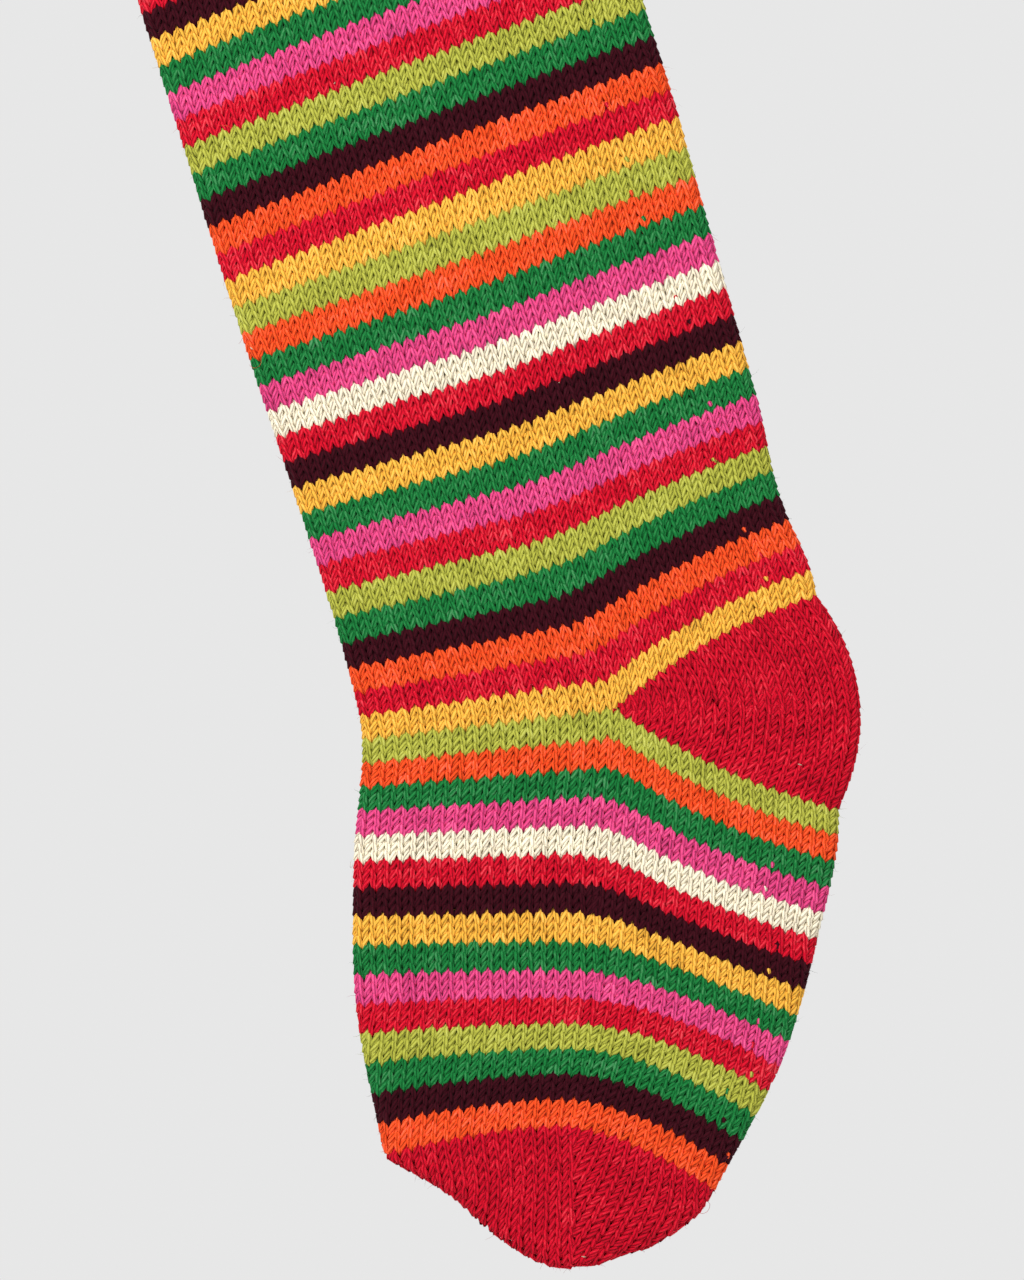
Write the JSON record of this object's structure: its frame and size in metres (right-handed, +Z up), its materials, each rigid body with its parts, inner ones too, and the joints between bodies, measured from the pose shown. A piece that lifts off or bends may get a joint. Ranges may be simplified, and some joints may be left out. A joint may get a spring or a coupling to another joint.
{
  "type": "knitted christmas stocking",
  "caption": "Long hand-knitted striped wool stocking with a ribbed cuff, short-row heel and shaped toe, hanging from a knitted strap loop at the heel side.",
  "frame": {"origin": "inside top of the hanging loop, where a hook or peg bears", "axes": "+Z up in the hanging pose, +X from the instep towards the heel, +Y away from the viewer, through the thin direction of the flat stocking"},
  "size_m": [0.3045, 0.036, 0.7038],
  "materials": {
    "red_wool": "matt worsted-weight wool yarn",
    "plum_wool": "matt worsted-weight wool yarn",
    "yellow_wool": "matt worsted-weight wool yarn",
    "green_wool": "matt worsted-weight wool yarn",
    "pink_wool": "matt worsted-weight wool yarn",
    "lime_wool": "matt worsted-weight wool yarn",
    "orange_wool": "matt worsted-weight wool yarn",
    "cream_wool": "matt worsted-weight wool yarn"
  },
  "bodies": {
    "loop": {"hanging_loop": "red_wool"},
    "stocking": {"cuff": "red_wool", "foot_stripe_01_lime": "lime_wool", "foot_stripe_02_orange": "orange_wool", "foot_stripe_03_green": "green_wool", "foot_stripe_04_pink": "pink_wool", "foot_stripe_05_cream": "cream_wool", "foot_stripe_06_red": "red_wool", "foot_stripe_07_plum": "plum_wool", "foot_stripe_08_yellow": "yellow_wool", "foot_stripe_09_green": "green_wool", "foot_stripe_10_pink": "pink_wool", "foot_stripe_11_red": "red_wool", "foot_stripe_12_lime": "lime_wool", "foot_stripe_13_green": "green_wool", "foot_stripe_14_plum": "plum_wool", "foot_stripe_15_orange": "orange_wool", "heel": "red_wool", "leg_stripe_01_yellow": "yellow_wool", "leg_stripe_02_lime": "lime_wool", "leg_stripe_03_orange": "orange_wool", "leg_stripe_04_green": "green_wool", "leg_stripe_05_pink": "pink_wool", "leg_stripe_06_cream": "cream_wool", "leg_stripe_07_red": "red_wool", "leg_stripe_08_plum": "plum_wool", "leg_stripe_09_yellow": "yellow_wool", "leg_stripe_10_green": "green_wool", "leg_stripe_11_pink": "pink_wool", "leg_stripe_12_red": "red_wool", "leg_stripe_13_lime": "lime_wool", "leg_stripe_14_green": "green_wool", "leg_stripe_15_plum": "plum_wool", "leg_stripe_16_orange": "orange_wool", "leg_stripe_17_red": "red_wool", "leg_stripe_18_yellow": "yellow_wool", "leg_stripe_19_lime": "lime_wool", "leg_stripe_20_orange": "orange_wool", "leg_stripe_21_green": "green_wool", "leg_stripe_22_pink": "pink_wool", "leg_stripe_23_cream": "cream_wool", "leg_stripe_24_red": "red_wool", "leg_stripe_25_plum": "plum_wool", "leg_stripe_26_yellow": "yellow_wool", "leg_stripe_27_green": "green_wool", "leg_stripe_28_pink": "pink_wool", "leg_stripe_29_red": "red_wool", "leg_stripe_30_lime": "lime_wool", "leg_stripe_31_green": "green_wool", "leg_stripe_32_plum": "plum_wool", "leg_stripe_33_orange": "orange_wool", "leg_stripe_34_red": "red_wool", "leg_stripe_35_yellow": "yellow_wool", "loop_ends": "red_wool", "loop_stitches": "red_wool", "toe": "red_wool"}
  },
  "joints": [
    {"name": "stocking_swing", "type": "hinge", "parent": "loop", "child": "stocking", "pos_m": [0, 0, -0.06], "axis": [0, 1, 0], "range_deg": [-60, 60]}
  ]
}
